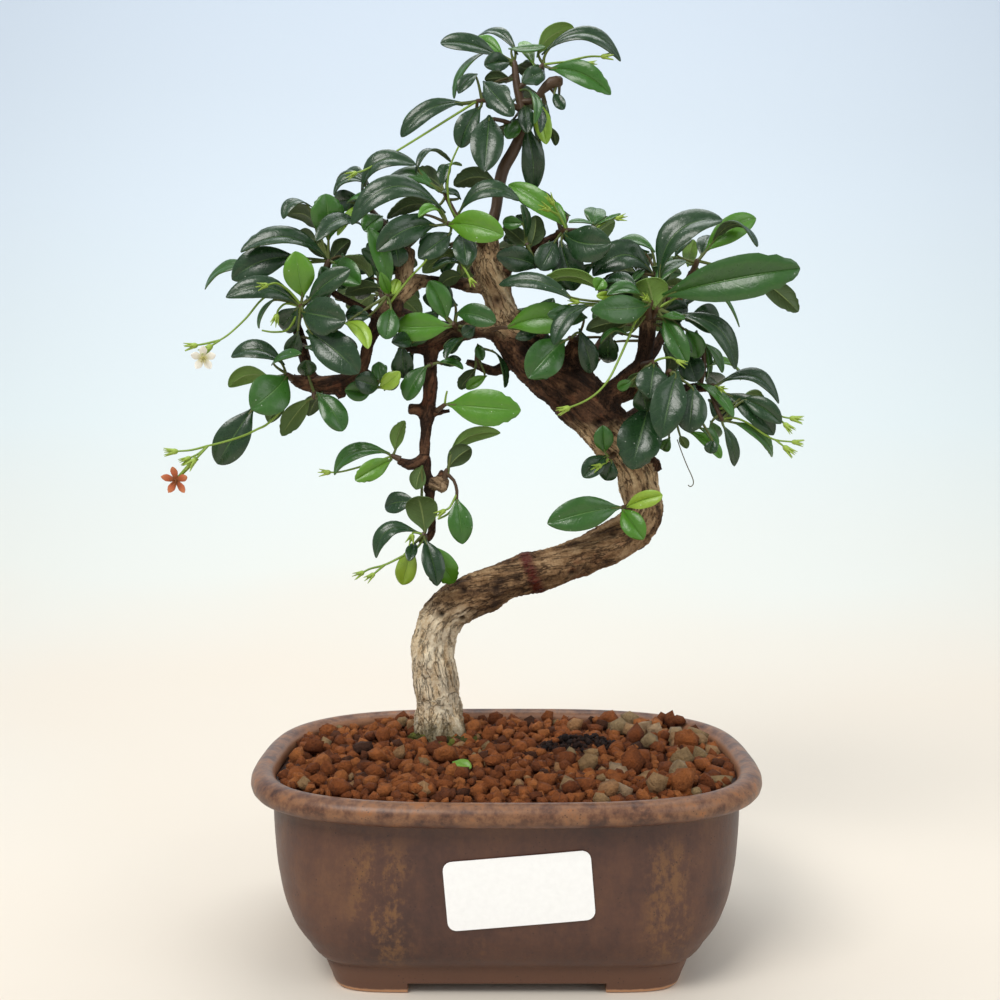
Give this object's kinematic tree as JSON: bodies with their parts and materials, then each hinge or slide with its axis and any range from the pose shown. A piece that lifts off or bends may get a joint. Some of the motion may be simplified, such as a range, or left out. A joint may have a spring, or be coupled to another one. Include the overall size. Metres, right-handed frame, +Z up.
{
  "type": "bonsai tree in a pot",
  "caption": "Fukien tea bonsai with a bent trunk and an open crown of small glossy leaves, growing in soil in an oblong glazed pot on corner feet.",
  "frame": {"origin": "middle of the whole part's bounding box, on the surface that the pot's feet stand on", "axes": "+Z up along the tree, +X to the right of the pot's labelled front, +Y away from that front, towards the back"},
  "size_m": [0.2654, 0.1664, 0.3759],
  "materials": {
    "glazed_stoneware": "satin glaze with ochre runs",
    "soil": "matte grains",
    "label": "matte paper",
    "bark": "rough, flaking",
    "drain_screen": "matte",
    "leaf": "glossy upper side",
    "faded_petal": "matte",
    "pale_petal": "matte"
  },
  "bodies": {
    "root": {"pot": "glazed_stoneware", "drain_screen_left": "drain_screen", "drain_screen_right": "drain_screen", "soil": "soil", "label": "label", "trunk_and_branches": "bark", "apex_stem": "leaf", "upper_left_stem": "leaf", "left_top_stem": "leaf", "left_front_stem": "leaf", "left_upper_stem": "leaf", "left_middle_stem": "leaf", "left_lower_stem": "leaf", "left_under_stem": "leaf", "left_inner_stem": "leaf", "left_centre_stem": "leaf", "hanging_stem_upper": "leaf", "hanging_stem_right": "leaf", "hanging_stem_left": "leaf", "hanging_stem_knob": "leaf", "hanging_stem_middle": "leaf", "hanging_stem_tip": "leaf", "bend_stem": "leaf", "trunk_front_stem": "leaf", "knob_stem": "leaf", "trunk_sprout": "leaf", "trunk_low_stem": "leaf", "centre_stem": "leaf", "centre_right_stem": "leaf", "right_dark_stem": "leaf", "right_front_stem": "leaf", "right_top_stem": "leaf", "right_far_stem": "leaf", "right_low_front_stem": "leaf", "right_low_stem": "leaf", "right_side_stem": "leaf", "back_left_stem": "leaf", "back_centre_stem": "leaf", "back_right_stem": "leaf", "back_low_stem": "leaf", "faded_flower": "faded_petal", "pale_flower": "pale_petal"}
  },
  "joints": []
}
